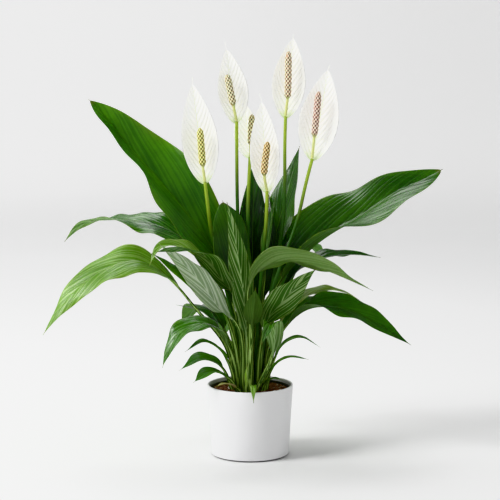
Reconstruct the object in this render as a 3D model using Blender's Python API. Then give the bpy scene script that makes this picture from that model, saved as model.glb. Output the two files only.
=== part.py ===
"""Potted peace lily: a white pot, its inner pot and soil, 6 flowers and their leaves.

Metres, +Z up. The origin is the centre of the pot's flat underside. The plant tables below are
in millimetres, measured from the pot's axis, and `MM` turns them into metres.
"""

import math

import bmesh
import bpy
import numpy as np

MM = 0.001

# ---- driving dimensions, millimetres ----
POT_HEIGHT = 107.0
POT_RIM_RADIUS = 65.0
POT_BASE_RADIUS = 58.5
POT_WALL = 3.5
POT_FLOOR = 5.0
FOOT_INSET = 2.5
FOOT_HEIGHT = 2.0
RIM_ROUND = 1.2
GAP = 0.3  # between pieces that touch
INNER_POT_CLEARANCE = 1.2
INNER_POT_WALL = 1.4
INNER_POT_TOP = 102.0
SOIL_EDGE = 94.0
SOIL_CROWN = 97.0
PLANT_FOOT = 98.4  # where petioles and flower stems leave the soil
TURN_STEPS = 40

PETIOLE_RADIUS = 1.9
BLADE_HALF_THICKNESS = 0.75
BLADE_BELLY = 0.756  # puts the widest part at 0.4 of the blade
BLADE_TAPER = 1.15
LEAF_STATIONS = 13
FOLD_REACH = 0.15  # share of the blade over which its halves leave the round petiole
STEM_RADIUS = 2.9
SPADIX_RADIUS = 4.6
SPADIX_STALK_RADIUS = 2.0
SPATHE_HALF_THICKNESS = 0.7
SPATHE_ROOT = 1.5  # half-width where the spathe joins the stem
SPATHE_BELLY = 0.82
SPATHE_TAPER = 0.8
SECTION_POINTS = 8

# ---- the leaves ----
# foot: where the petiole leaves the soil. aim: heading in degrees, anticlockwise from +X.
# path: (reach, height) of the midrib beyond the foot, in the upright plane of the heading.
# bow, lean: how far the middle and the tip stand to the left of that plane.
# petiole: share of the path before the blade. width: the blade's greatest. left, right: degrees by
# which each half stands above level at the blade's base, middle and tip. belly, taper: a larger
# belly puts the widest part nearer the tip, a smaller taper keeps the blade broad to its ends.
LEAVES = {
    "leaf_tall_left": dict(
        foot=(-12, 4), aim=171, petiole=0.36, width=124, left=(-56, 2, -28), right=(50, 58, 56),
        belly=0.84, taper=0.85,
        path=((27, 257), (68, 327), (113, 384), (151, 427), (197, 479), (233, 525), (242, 530))),
    "leaf_tall_right": dict(
        foot=(13, 4), aim=12, petiole=0.37, width=120, left=(55, 56, 52), right=(42, 8, -42),
        belly=0.66, taper=0.75,
        path=((38, 245), (70, 290), (120, 329), (176, 360), (232, 395), (263, 408), (296, 424))),
    "leaf_left_level": dict(
        foot=(-15, 8), aim=166, petiole=0.46, width=58, left=(-35, -10, 68), right=(50, 35, -50),
        path=((25, 190), (77, 302), (131, 338), (188, 350), (235, 348), (264, 341), (290, 316))),
    "leaf_left_drooping": dict(
        foot=(-23, -1), aim=190, petiole=0.42, width=62, left=(-15, -28, -48), right=(42, 46, 38),
        path=((34, 160), (82, 225), (120, 270), (165, 297), (209, 290), (253, 262), (283, 230),
              (307, 194))),
    "leaf_left_folded": dict(
        foot=(-11, -10), aim=207, petiole=0.46, width=48, left=(16, 6, 6), right=(36, 46, 46),
        bow=0,
        path=((30, 191), (55, 259), (85, 303), (126, 325), (149, 321), (162, 300))),
    "leaf_left_pale": dict(
        foot=(-6, -20), aim=225, petiole=0.46, width=32, left=(50, 10, -50), right=(-55, -8, 40),
        bow=3,
        path=((34, 238), (66, 278), (92, 309), (138, 326), (186, 325))),
    "leaf_left_dark": dict(
        foot=(-12, -15), aim=213, petiole=0.42, width=46, left=(-40, -45, -45),
        right=(30, 40, 40), bow=0,
        path=((44, 216), (79, 254), (121, 287), (166, 316))),
    "leaf_left_silvery": dict(
        foot=(-12, -21), aim=222, petiole=0.44, width=38, left=(50, 50, 45),
        right=(-50, -50, -45), bow=11,
        path=((36, 201), (71, 233), (102, 271), (130, 300), (172, 333))),
    "leaf_centre_broad": dict(
        foot=(3, -10), aim=112, petiole=0.4, width=61, left=(24, 14, 10), right=(25, 10, 5),
        bow=17, lean=25, belly=1.25, taper=0.7,
        path=((-11, 200), (-1, 260), (11, 312), (28, 358), (46, 378))),
    "leaf_centre_narrow": dict(
        foot=(-7, -26), aim=258, petiole=0.3, width=30, left=(40, 40, 15), right=(-30, -22, -5),
        bow=6, lean=-24,
        path=((30, 175), (36, 225), (42, 272), (45, 330), (46, 383))),
    "leaf_centre_shaded": dict(
        foot=(8, 19), aim=70, petiole=0.42, width=60, left=(18, 18, 18), right=(18, 18, 18),
        path=((28, 200), (54, 290), (68, 340), (86, 385))),
    "leaf_centre_curled": dict(
        foot=(-2, 1), aim=30, petiole=0.6, width=26, left=(25, 25, 25), right=(25, 25, 25),
        path=((18, 220), (32, 330), (44, 385))),
    "leaf_behind_flower": dict(
        foot=(2, 14), aim=84, petiole=0.5, width=44, left=(18, 18, 18), right=(18, 18, 18),
        path=((24, 220), (39, 330), (53, 400), (62, 440))),
    "leaf_upright_right": dict(
        foot=(12, 13), aim=48, petiole=0.5, width=58, left=(18, 18, 18), right=(18, 18, 18),
        bow=10,
        path=((37, 220), (66, 320), (92, 390), (112, 456))),
    "leaf_right_dark": dict(
        foot=(18, 10), aim=22, petiole=0.46, width=40, left=(22, 32, 42), right=(22, 12, 2),
        path=((42, 215), (80, 278), (126, 293), (169, 295), (213, 288))),
    "leaf_right_arching": dict(
        foot=(3, -23), aim=345, petiole=0.46, width=60, left=(-10, -20, 0), right=(50, 64, 45),
        bow=-33, lean=-16,
        path=((10, 166), (10, 219), (8, 258), (28, 290), (66, 303), (125, 288), (187, 260))),
    "leaf_right_striped": dict(
        foot=(12, -14), aim=322, petiole=0.42, width=48, left=(-45, -45, -40), right=(45, 45, 40),
        path=((30, 204), (62, 241), (93, 271), (120, 291))),
    "leaf_right_yellow": dict(
        foot=(20, 5), aim=14, petiole=0.44, width=34, left=(23, 28, 28), right=(13, 8, 8),
        path=((29, 165), (61, 219), (99, 242), (138, 244), (168, 230))),
    "leaf_right_drooping": dict(
        foot=(20, -4), aim=347, petiole=0.36, width=58, left=(30, 52, 48), right=(45, -8, -22),
        path=((29, 140), (53, 196), (91, 226), (143, 227), (192, 207), (240, 178))),
    "leaf_right_thin": dict(
        foot=(25, -1), aim=357, petiole=0.4, width=18, left=(20, 20, 20), right=(20, 20, 20),
        path=((31, 132), (49, 168), (77, 179), (103, 165))),
    "leaf_right_low": dict(
        foot=(22, -11), aim=333, petiole=0.35, width=18, left=(20, 20, 20), right=(20, 20, 20),
        path=((30, 122), (43, 142), (66, 154), (94, 153))),
    "leaf_right_lowest": dict(
        foot=(18, -18), aim=318, petiole=0.35, width=11, left=(15, 15, 15), right=(15, 15, 15),
        path=((32, 114), (45, 122), (62, 122))),
    "leaf_front_nodding": dict(
        foot=(7, -24), aim=272, petiole=0.4, width=32, left=(30, 30, 30), right=(30, 30, 30),
        bow=30, lean=14,
        path=((37, 160), (52, 204), (72, 209), (90, 186))),
    "leaf_front_round": dict(
        foot=(-1, -31), aim=270, petiole=0.66, width=30, left=(16, 16, 16), right=(16, 16, 16),
        lean=8,
        path=((39, 160), (48, 215), (52, 258))),
    "leaf_front_sprout": dict(
        foot=(-6, -31), aim=262, petiole=0.3, width=8, left=(20, 20, 20), right=(20, 20, 20),
        path=((31, 118), (32, 140))),
    "leaf_over_rim": dict(
        foot=(6, -31), aim=274, petiole=0.3, width=10, left=(10, 10, 10), right=(10, 10, 10),
        path=((46, 113), (64, 115), (74, 97))),
    "leaf_left_low": dict(
        foot=(-18, -12), aim=206, petiole=0.36, width=46, left=(6, -4, -4), right=(26, 36, 36),
        bow=6,
        path=((30, 142), (44, 180), (73, 206), (110, 199), (131, 175), (142, 147))),
    "leaf_left_small": dict(
        foot=(-18, 5), aim=166, petiole=0.45, width=26, left=(18, 18, 18), right=(18, 18, 18),
        path=((36, 160), (70, 212), (112, 222))),
    "leaf_left_slim": dict(
        foot=(-21, -17), aim=206, petiole=0.4, width=22, left=(13, 8, 8), right=(23, 28, 28),
        path=((35, 140), (52, 166), (77, 178), (104, 166))),
    "leaf_left_lower": dict(
        foot=(-27, -3), aim=186, petiole=0.35, width=34, left=(8, 1, 1), right=(24, 31, 31),
        path=((42, 134), (73, 148), (104, 131))),
    "leaf_left_lowest": dict(
        foot=(-18, -22), aim=214, petiole=0.35, width=34, left=(11, 6, 6), right=(21, 26, 26),
        path=((42, 123), (70, 134), (98, 122))),
    "leaf_old_strip": dict(
        foot=(-13, -26), aim=232, petiole=0.3, width=10, left=(10, 10, 10), right=(10, 10, 10),
        path=((42, 112), (62, 118), (78, 117))),
    "leaf_back_right": dict(
        foot=(15, 18), aim=55, petiole=0.42, width=66, left=(18, 18, 18), right=(18, 18, 18),
        path=((50, 200), (108, 285), (160, 300), (208, 270))),
    "leaf_back_centre": dict(
        foot=(2, 21), aim=88, petiole=0.42, width=68, left=(18, 18, 18), right=(18, 18, 18),
        path=((42, 195), (95, 280), (148, 292), (200, 255))),
    "leaf_back_left": dict(
        foot=(-9, 16), aim=122, petiole=0.42, width=68, left=(18, 18, 18), right=(18, 18, 18),
        path=((46, 205), (105, 298), (162, 316), (218, 288))),
    "leaf_back_low_left": dict(
        foot=(-17, 13), aim=126, petiole=0.4, width=54, left=(18, 18, 18), right=(18, 18, 18),
        path=((46, 158), (98, 208), (146, 202), (186, 165))),
    "leaf_back_low": dict(
        foot=(-5, 24), aim=104, petiole=0.4, width=52, left=(18, 18, 18), right=(18, 18, 18),
        path=((42, 150), (92, 190), (138, 184), (178, 145))),
    "leaf_back_low_right": dict(
        foot=(21, 14), aim=36, petiole=0.42, width=50, left=(18, 18, 18), right=(18, 18, 18),
        path=((44, 160), (92, 215), (140, 222), (180, 195))),
    "leaf_back_small": dict(
        foot=(9, 25), aim=74, petiole=0.38, width=32, left=(18, 18, 18), right=(18, 18, 18),
        path=((38, 138), (70, 165), (106, 160), (132, 134))),
}

# ---- the flowers ----
# stem: its centre from the soil to its top. tip: the spathe's point. face: heading that the hollow
# side looks to. hood: how deep the spathe cups. spadix: where its knobbly part begins and ends.
FLOWERS = {
    "left": dict(
        stem=((-9, -2, PLANT_FOOT), (-24, -5, 200), (-48, -7, 300), (-57, -10, 336), (-66, -28, 414)),
        tip=(-84, -20, 556), width=54, face=275, hood=12, spadix=((-69, -33, 440), (-73, -34, 494))),
    "upper_left": dict(
        stem=((-4, 8, PLANT_FOOT), (-13, 18, 230), (-19, 33, 374), (-20, 20, 500)),
        tip=(-35, 28, 606), width=47, face=285, hood=11, spadix=((-25, 15, 526), (-34, 15, 570))),
    "middle": dict(
        stem=((-3, 15, PLANT_FOOT), (-3, 22, 260), (-3, 28, 380), (0, 36, 446)),
        tip=(-9, 46, 526), width=42, face=262, hood=10, spadix=((1, 33, 466), (3, 33, 510))),
    "front": dict(
        stem=((7, 0, PLANT_FOOT), (15, -6, 250), (24, -8, 358), (25, -12, 399)),
        tip=(17, -8, 530), width=45, face=270, hood=11, spadix=((21, -18, 425), (26, -19, 473))),
    "tallest": dict(
        stem=((5, 8, PLANT_FOOT), (29, 14, 230), (50, 24, 358), (52, 30, 460), (53, 30, 507)),
        tip=(64, 38, 622), width=51, face=268, hood=12, spadix=((56, 25, 536), (57, 24, 604))),
    "right": dict(
        stem=((11, -6, PLANT_FOOT), (20, -10, 180), (33, -10, 250), (70, -3, 355), (88, 0, 434),
              (92, 0, 446)),
        tip=(115, 8, 576), width=60, face=262, hood=13, spadix=((95, -6, 482), (101, -7, 546))),
}

LEAF_GREEN = (0.045, 0.16, 0.025)
STEM_GREEN = (0.16, 0.32, 0.06)


def clear_scene():
    for obj in list(bpy.data.objects):
        bpy.data.objects.remove(obj, do_unlink=True)


def material(name, colour, roughness):
    mat = bpy.data.materials.new(name)
    mat.use_nodes = True
    shader = mat.node_tree.nodes["Principled BSDF"]
    shader.inputs["Base Color"].default_value = (*colour, 1.0)
    shader.inputs["Roughness"].default_value = roughness
    shader.inputs["Metallic"].default_value = 0.0
    return mat


def add_object(name, mesh, colour, roughness):
    obj = bpy.data.objects.new(name, mesh)
    bpy.context.scene.collection.objects.link(obj)
    mesh.materials.append(material(name + "_finish", colour, roughness))
    mesh.shade_smooth()
    mesh.set_sharp_from_angle(angle=math.radians(45))
    return obj


def turned(name, profile, colour, roughness):
    """A solid turned about Z from (radius, height) points in mm that begin and end on the axis."""
    bm = bmesh.new()
    verts = [bm.verts.new((radius * MM, 0.0, height * MM)) for radius, height in profile]
    edges = [bm.edges.new(pair) for pair in zip(verts, verts[1:])]
    bmesh.ops.spin(
        bm, geom=verts + edges, cent=(0, 0, 0), axis=(0, 0, 1), angle=math.tau, steps=TURN_STEPS,
        use_merge=True)
    bmesh.ops.remove_doubles(bm, verts=bm.verts, dist=1e-6)
    bmesh.ops.recalc_face_normals(bm, faces=bm.faces)
    mesh = bpy.data.meshes.new(name)
    bm.to_mesh(mesh)
    bm.free()
    return add_object(name, mesh, colour, roughness)


def smooth_path(points, count):
    """`count` points evenly spaced along a smooth curve through the given points."""
    points = np.asarray(points, float)
    knots = np.concatenate([[0.0], np.cumsum(np.linalg.norm(np.diff(points, axis=0), axis=1) ** 0.5)])
    slopes = np.gradient(points, knots, axis=0)
    at = np.linspace(0.0, knots[-1], 400)
    span = np.clip(np.searchsorted(knots, at, side="right") - 1, 0, len(knots) - 2)
    width = (knots[span + 1] - knots[span])[:, None]
    u = ((at - knots[span])[:, None]) / width
    curve = (
        (2 * u**3 - 3 * u**2 + 1) * points[span]
        + (u**3 - 2 * u**2 + u) * width * slopes[span]
        + (3 * u**2 - 2 * u**3) * points[span + 1]
        + (u**3 - u**2) * width * slopes[span + 1]
    )
    length = np.concatenate([[0.0], np.cumsum(np.linalg.norm(np.diff(curve, axis=0), axis=1))])
    even = np.linspace(0.0, length[-1], count)
    return np.stack([np.interp(even, length, curve[:, k]) for k in range(3)], axis=1)


def unit(vectors):
    return vectors / np.linalg.norm(vectors, axis=1, keepdims=True)


def lofted(name, rings, colour, roughness):
    """A closed body through rings of points. Its upper and lower faces split along the same
    diagonals, so that a thin twisted blade keeps its thickness."""
    count, around = rings.shape[:2]
    faces = []
    for i in range(count - 1):
        for k in range(around):
            a = i * around + k
            b = i * around + (k + 1) % around
            c = b + around
            d = a + around
            faces += [(a, b, c), (a, c, d)] if k < around // 2 else [(a, b, d), (b, c, d)]
    faces.append(tuple(reversed(range(around))))
    faces.append(tuple(range((count - 1) * around, count * around)))
    mesh = bpy.data.meshes.new(name)
    mesh.from_pydata((rings.reshape(-1, 3) * MM).tolist(), [], faces)
    mesh.validate()
    bm = bmesh.new()
    bm.from_mesh(mesh)
    bmesh.ops.recalc_face_normals(bm, faces=bm.faces)
    if bm.calc_volume(signed=True) < 0:
        bmesh.ops.reverse_faces(bm, faces=bm.faces)
    bm.to_mesh(mesh)
    bm.free()
    return add_object(name, mesh, colour, roughness)


def blade_share(t, belly, taper):
    """Half-width along a blade, 0 to 1, which ends in a point."""
    return np.sin(math.pi * np.clip(t, 0, 1) ** belly) ** taper


def section_angles():
    return np.arange(SECTION_POINTS) * math.tau / SECTION_POINTS


def leaf(
        name, foot, aim, path, petiole, width, left, right, bow=0, lean=0,
        belly=BLADE_BELLY, taper=BLADE_TAPER):
    heading = math.radians(aim)
    outward = np.array([math.cos(heading), math.sin(heading), 0.0])
    leftward = np.array([-math.sin(heading), math.cos(heading), 0.0])
    foot = np.array([*foot, 0.0])
    path = [(foot @ outward, PLANT_FOOT), *path]
    flat = np.array([(reach, 0.0, height) for reach, height in path], float)
    spine = smooth_path(flat, LEAF_STATIONS)
    s = np.linspace(0.0, 1.0, LEAF_STATIONS)
    aside = foot @ leftward * (1 - s) ** 2 + bow * np.sin(math.pi * s) + lean * s**2
    up = np.array([0.0, 0.0, 1.0])
    spine = spine[:, :1] * outward + aside[:, None] * leftward + spine[:, 2:] * up

    t = (s - petiole) / (1 - petiole)
    share = blade_share(t, belly, taper)
    half_width = PETIOLE_RADIUS * (1 - 0.85 * np.clip(t, 0, 1)) + (width / 2 - PETIOLE_RADIUS) * share
    half_thickness = PETIOLE_RADIUS + (BLADE_HALF_THICKNESS - PETIOLE_RADIUS) * np.clip(t * 4, 0, 1)
    half_thickness *= 1 - 0.5 * np.clip(t, 0, 1)

    tangent = unit(np.gradient(spine, axis=0))
    level = unit(leftward - np.sum(leftward * tangent, axis=1, keepdims=True) * tangent)
    upper = np.cross(tangent, level)
    folded = np.radians([np.interp(t, [0, 0.5, 1], right), np.interp(t, [0, 0.5, 1], left)])
    folded *= np.clip(t / FOLD_REACH, 0, 1)
    angle = section_angles()
    across = np.round(np.cos(angle), 9)
    tilt = np.where(across > 0, folded[1][:, None], -folded[0][:, None]) * np.sign(np.abs(across))
    along_level = half_width[:, None] * across * np.cos(tilt)
    along_upper = half_width[:, None] * across * np.sin(tilt)
    lift = half_thickness[:, None] * np.sin(angle)
    along_level = along_level - lift * np.sin(tilt)
    along_upper = along_upper + lift * np.cos(tilt)
    rings = (spine[:, None] + along_level[..., None] * level[:, None]
             + along_upper[..., None] * upper[:, None])
    return lofted(name, rings, LEAF_GREEN, 0.35)


def blade_rings(spine, side, half_width, half_thickness, rise):
    """Lens-shaped sections across a spine. side points across the blade, and rise(across) lifts
    the section towards the upper face, with across from -1 to 1."""
    tangent = unit(np.gradient(spine, axis=0))
    side = unit(side - np.sum(side * tangent, axis=1, keepdims=True) * tangent)
    upper = np.cross(tangent, side)
    angle = section_angles()
    across = half_width[:, None] * np.cos(angle)
    lift = half_thickness[:, None] * np.sin(angle) + rise(np.cos(angle))
    return spine[:, None] + across[..., None] * side[:, None] + lift[..., None] * upper[:, None]


def tube_rings(spine, radius):
    side = np.broadcast_to(np.array([1.0, 0.0, 0.0]), spine.shape)
    return blade_rings(spine, side, radius, radius, lambda across: 0.0)


def flower(name, stem, tip, width, face, hood, spadix):
    spine = smooth_path(stem, 9)
    taper = STEM_RADIUS * np.linspace(1.0, 0.85, len(spine))
    lofted(f"flower_stem_{name}", tube_rings(spine, taper), STEM_GREEN, 0.45)

    looks = np.array([math.cos(math.radians(face)), math.sin(math.radians(face)), 0.0])
    top = np.array(stem[-1], float)
    behind = top - looks * (STEM_RADIUS + SPATHE_HALF_THICKNESS + GAP)
    tip = np.array(tip, float)
    belly = (behind + tip) / 2 - looks * hood * 0.35
    spine = smooth_path([behind - (0, 0, 3.0), belly, tip], 11)
    t = np.linspace(0.0, 1.0, len(spine))
    share = np.sin(math.pi * np.clip(t, 0, 1) ** SPATHE_BELLY) ** SPATHE_TAPER
    share[-1] = 0.0
    half_width = SPATHE_ROOT * (1 - 0.8 * t) + (width / 2 - SPATHE_ROOT) * share
    tangent = unit(np.gradient(spine, axis=0))
    side = np.cross(np.broadcast_to(looks, spine.shape), tangent)
    cup = (hood * share)[:, None]
    thick = SPATHE_HALF_THICKNESS * (1 - 0.4 * t)
    rings = blade_rings(spine, side, half_width, thick, lambda across: cup * np.abs(across) ** 2)
    lofted(f"spathe_{name}", rings, (0.86, 0.87, 0.80), 0.5)

    start = np.array(spadix[0], float)
    end = np.array(spadix[1], float)
    foot = top + np.array([0.0, 0.0, 3 * GAP])
    axis = smooth_path([foot, start, end], 11)
    along = np.linalg.norm(axis - foot, axis=1) / np.linalg.norm(start - foot)
    knobby = np.clip((along - 0.85) / 0.3, 0, 1)
    left = np.linalg.norm(axis - end, axis=1) / np.linalg.norm(end - start)
    round_end = np.sqrt(np.clip(1 - (1 - np.clip(left / 0.25, 0, 1)) ** 2, 0.05, 1))
    radius = (SPADIX_STALK_RADIUS + (SPADIX_RADIUS - SPADIX_STALK_RADIUS) * knobby) * round_end
    lofted(f"spadix_{name}", tube_rings(axis, radius), (0.55, 0.45, 0.22), 0.7)


def pots_and_soil():
    slope = (POT_RIM_RADIUS - POT_BASE_RADIUS) / (POT_HEIGHT - FOOT_HEIGHT)

    def outer(height):
        return POT_BASE_RADIUS + (height - FOOT_HEIGHT) * slope

    def inner(height):
        return outer(height) - POT_WALL

    turned("pot", (
        (0, 0),
        (POT_BASE_RADIUS - FOOT_INSET, 0),
        (POT_BASE_RADIUS - FOOT_INSET, FOOT_HEIGHT),
        (POT_BASE_RADIUS - 0.8, FOOT_HEIGHT),
        (outer(FOOT_HEIGHT + 0.8), FOOT_HEIGHT + 0.8),
        (outer(POT_HEIGHT - RIM_ROUND), POT_HEIGHT - RIM_ROUND),
        (POT_RIM_RADIUS - RIM_ROUND, POT_HEIGHT),
        (inner(POT_HEIGHT) + RIM_ROUND, POT_HEIGHT),
        (inner(POT_HEIGHT - RIM_ROUND), POT_HEIGHT - RIM_ROUND),
        (inner(POT_FLOOR + 4), POT_FLOOR + 4),
        (inner(POT_FLOOR) - 4, POT_FLOOR),
        (0, POT_FLOOR),
    ), (0.80, 0.80, 0.79), 0.4)

    def shell(height):
        return inner(height) - INNER_POT_CLEARANCE

    low = POT_FLOOR + GAP
    base = low + 1.4
    turned("nursery_pot", (
        (0, low),
        (shell(low) - 8, low),
        (shell(low + 8), low + 8),
        (shell(INNER_POT_TOP), INNER_POT_TOP),
        (shell(INNER_POT_TOP) - INNER_POT_WALL, INNER_POT_TOP),
        (shell(low + 8) - INNER_POT_WALL, low + 8),
        (shell(low) - 8 - INNER_POT_WALL, base),
        (0, base),
    ), (0.02, 0.021, 0.02), 0.6)

    def filled(height):
        return shell(height) - INNER_POT_WALL - GAP

    turned("soil", (
        (0, base + GAP),
        (filled(low) - 8 - GAP, base + GAP),
        (filled(low + 8), low + 8),
        (filled(SOIL_EDGE), SOIL_EDGE),
        (34, SOIL_CROWN),
        (0, SOIL_CROWN),
    ), (0.06, 0.028, 0.02), 0.95)


def main():
    clear_scene()
    pots_and_soil()
    for name, plan in LEAVES.items():
        leaf(name, **plan)
    for name, plan in FLOWERS.items():
        flower(name, **plan)


main()
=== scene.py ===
# Potted peace lily: the finished looks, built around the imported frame.
# Tables are in millimetres from the pot's axis, meshes and lights are in metres.
import math

import bpy
import numpy as np
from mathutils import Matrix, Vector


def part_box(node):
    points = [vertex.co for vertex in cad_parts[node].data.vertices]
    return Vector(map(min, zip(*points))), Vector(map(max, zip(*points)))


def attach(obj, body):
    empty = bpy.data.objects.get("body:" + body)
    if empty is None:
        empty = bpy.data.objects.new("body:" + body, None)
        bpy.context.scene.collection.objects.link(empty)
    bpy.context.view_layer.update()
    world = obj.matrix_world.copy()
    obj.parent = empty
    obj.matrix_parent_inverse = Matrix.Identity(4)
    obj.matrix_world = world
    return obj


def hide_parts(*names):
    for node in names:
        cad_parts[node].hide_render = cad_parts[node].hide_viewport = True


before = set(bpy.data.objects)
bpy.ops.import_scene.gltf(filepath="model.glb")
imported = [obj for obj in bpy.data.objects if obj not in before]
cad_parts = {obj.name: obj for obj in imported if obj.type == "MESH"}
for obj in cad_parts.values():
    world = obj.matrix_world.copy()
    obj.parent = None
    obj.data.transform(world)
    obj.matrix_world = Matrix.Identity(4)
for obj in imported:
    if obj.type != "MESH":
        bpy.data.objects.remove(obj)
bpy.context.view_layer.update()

mm = 0.001
plantFoot = (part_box("soil")[1].z + 0.0014) / mm  # where petioles and flower stems leave the soil
print("frame loaded:", len(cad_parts), "nodes, plant foot at", round(plantFoot, 1), "mm")

# camera and studio
studio = dict(
    cameraPlace=(0.0, -2.6, 0.66), cameraAim=(0.0, 0.0, 0.31), lens=126.8, sensor=36.0,
    nearest=0.05,
    floorRadius=3.9, wallRadius=7.5, wallHeight=3.6, floorColor=(0.83, 0.83, 0.83), floorSides=96,
    worldColor=(1.0, 1.0, 1.0), worldStrength=0.34, wallGlow=0.46, wallShadeRight=0.34,
    lights=dict(
        keySoftbox=dict(place=(-2.5, -1.05, 2.2), aim=(0.05, 0.0, 0.25), size=(1.2, 1.2), power=92),
        topSoftbox=dict(place=(-0.5, 0.9, 2.4), aim=(0.0, 0.0, 0.3), size=(1.6, 1.2), power=34),
        sideFill=dict(place=(2.4, -1.2, 1.1), aim=(0.0, 0.0, 0.3), size=(1.2, 1.4), power=3)))


# puts new data into the scene, turned so that its -Z axis runs from place to aim
def placeItem(name, data, place, aim):
    item = bpy.data.objects.new(name, data)
    bpy.context.scene.collection.objects.link(item)
    item.location = place
    direction = Vector(aim) - Vector(place)
    item.rotation_euler = direction.to_track_quat("-Z", "Y").to_euler()
    return item


def buildStudio():
    scene = bpy.context.scene
    camera = bpy.data.cameras.new("studioCamera")
    camera.lens, camera.sensor_width = studio["lens"], studio["sensor"]
    camera.clip_start = studio["nearest"]
    scene.camera = placeItem("studioCamera", camera, studio["cameraPlace"], studio["cameraAim"])
    for name, lamp in studio["lights"].items():
        light = bpy.data.lights.new(name, "AREA")
        light.shape = "RECTANGLE"
        light.size, light.size_y = lamp["size"]
        light.energy = lamp["power"]
        placeItem(name, light, lamp["place"], lamp["aim"])
    world = bpy.data.worlds.new("studioWorld")
    world.use_nodes = True
    sky = world.node_tree.nodes["Background"]
    sky.inputs["Color"].default_value = (*studio["worldColor"], 1.0)
    sky.inputs["Strength"].default_value = studio["worldStrength"]
    scene.world = world
    scene.view_settings.view_transform = "Khronos PBR Neutral"
    scene.view_settings.look = "None"


buildStudio()
print("camera and studio lights placed")


# mesh making

# vectors brought to length 1
def unit(vectors):
    return vectors / np.maximum(np.linalg.norm(vectors, axis=-1, keepdims=True), 1e-12)


# 0 below low, 1 above high, eased as 3u^2 - 2u^3 between them
def ease(value, low, high):
    u = np.clip((value - low) / (high - low), 0.0, 1.0)
    return u * u * (3.0 - 2.0 * u)


# the level direction at an angle in degrees, anticlockwise from +X
def levelAt(degrees):
    turn = math.radians(degrees)
    return np.array([math.cos(turn), math.sin(turn), 0.0])


# points evenly spaced along a smooth curve through the given ones: cubic pieces whose knots are
# the running sum of the square root of each chord, then resampled by length
def smoothPath(points, count):
    points = np.asarray(points, float)
    chords = np.linalg.norm(np.diff(points, axis=0), axis=1)
    knots = np.concatenate([[0.0], np.cumsum(chords ** 0.5)])
    slopes = np.gradient(points, knots, axis=0)
    at = np.linspace(0.0, knots[-1], 400)
    span = np.clip(np.searchsorted(knots, at, side="right") - 1, 0, len(knots) - 2)
    width = (knots[span + 1] - knots[span])[:, None]
    u = ((at - knots[span])[:, None]) / width
    curve = ((2 * u**3 - 3 * u**2 + 1) * points[span] + (u**3 - 2 * u**2 + u) * width * slopes[span]
             + (3 * u**2 - 2 * u**3) * points[span + 1] + (u**3 - u**2) * width * slopes[span + 1])
    length = np.concatenate([[0.0], np.cumsum(np.linalg.norm(np.diff(curve, axis=0), axis=1))])
    even = np.linspace(0.0, length[-1], count)
    return np.stack([np.interp(even, length, curve[:, k]) for k in range(3)], axis=1)


# natural cubic spline through evenly spaced stations, read at the shares `at` from 0 to 1
def splineThrough(stations, at):
    last = len(stations) - 1
    system = np.eye(last + 1)
    bend = np.zeros_like(stations)
    inner = np.arange(1, last)
    system[inner, inner] = 4.0
    system[inner, inner - 1] = 1.0
    system[inner, inner + 1] = 1.0
    bend[1:-1] = 6.0 * (stations[2:] - 2.0 * stations[1:-1] + stations[:-2])
    curved = np.linalg.solve(system, bend)
    span = np.clip(np.floor(at * last).astype(int), 0, last - 1)
    u = (at * last - span)[:, None]
    v = 1.0 - u
    return (v * stations[span] + u * stations[span + 1]
            + (v**3 - v) * curved[span] / 6.0 + (u**3 - u) * curved[span + 1] / 6.0)


# running mean of a row of values over `window` stations, with the ends held
def evened(values, window):
    window = max(3, int(window) | 1)
    padded = np.pad(values, window // 2, mode="edge")
    return np.convolve(padded, np.ones(window) / window, mode="valid")


# smooth noise: a sum of cosines whose directions and phases come from the seed
def ripple(points, wavelength, seed, waves=14):
    rng = np.random.default_rng(seed)
    direction = rng.normal(size=(waves, points.shape[-1]))
    direction *= (2 * math.pi / wavelength) / np.linalg.norm(direction, axis=1, keepdims=True)
    direction *= rng.uniform(0.6, 1.5, size=(waves, 1))
    phase = rng.uniform(0, 2 * math.pi, waves)
    return np.cos(points @ direction.T + phase).sum(-1) / math.sqrt(waves)


# the angles of the points round a ring, evenly spaced
def ringAngles(around):
    return np.arange(around) * math.tau / around


# rings of points made by carrying a (radius, height) profile round the Z axis
def turnedRings(profile, around):
    angle = ringAngles(around)
    radius, height = profile[:, :1], profile[:, 1:]
    return np.stack(np.broadcast_arrays(
        radius * np.cos(angle), radius * np.sin(angle), height + 0 * angle), -1).copy()


# quads between neighbouring rings, as point numbers, each ring closed on itself
def ringQuads(count, around):
    row = np.arange(count - 1)[:, None] * around
    column = np.arange(around)[None, :]
    beyond = (column + 1) % around
    quads = np.stack([row + column, row + beyond, row + around + beyond, row + around + column], -1)
    return quads.reshape(-1, 4)


# triangles from one pole point to the ring of points that begins at start
def fan(pole, start, around):
    column = start + np.arange(around)
    return np.stack([np.full(around, pole), column, np.roll(column, -1)], -1)


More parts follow.
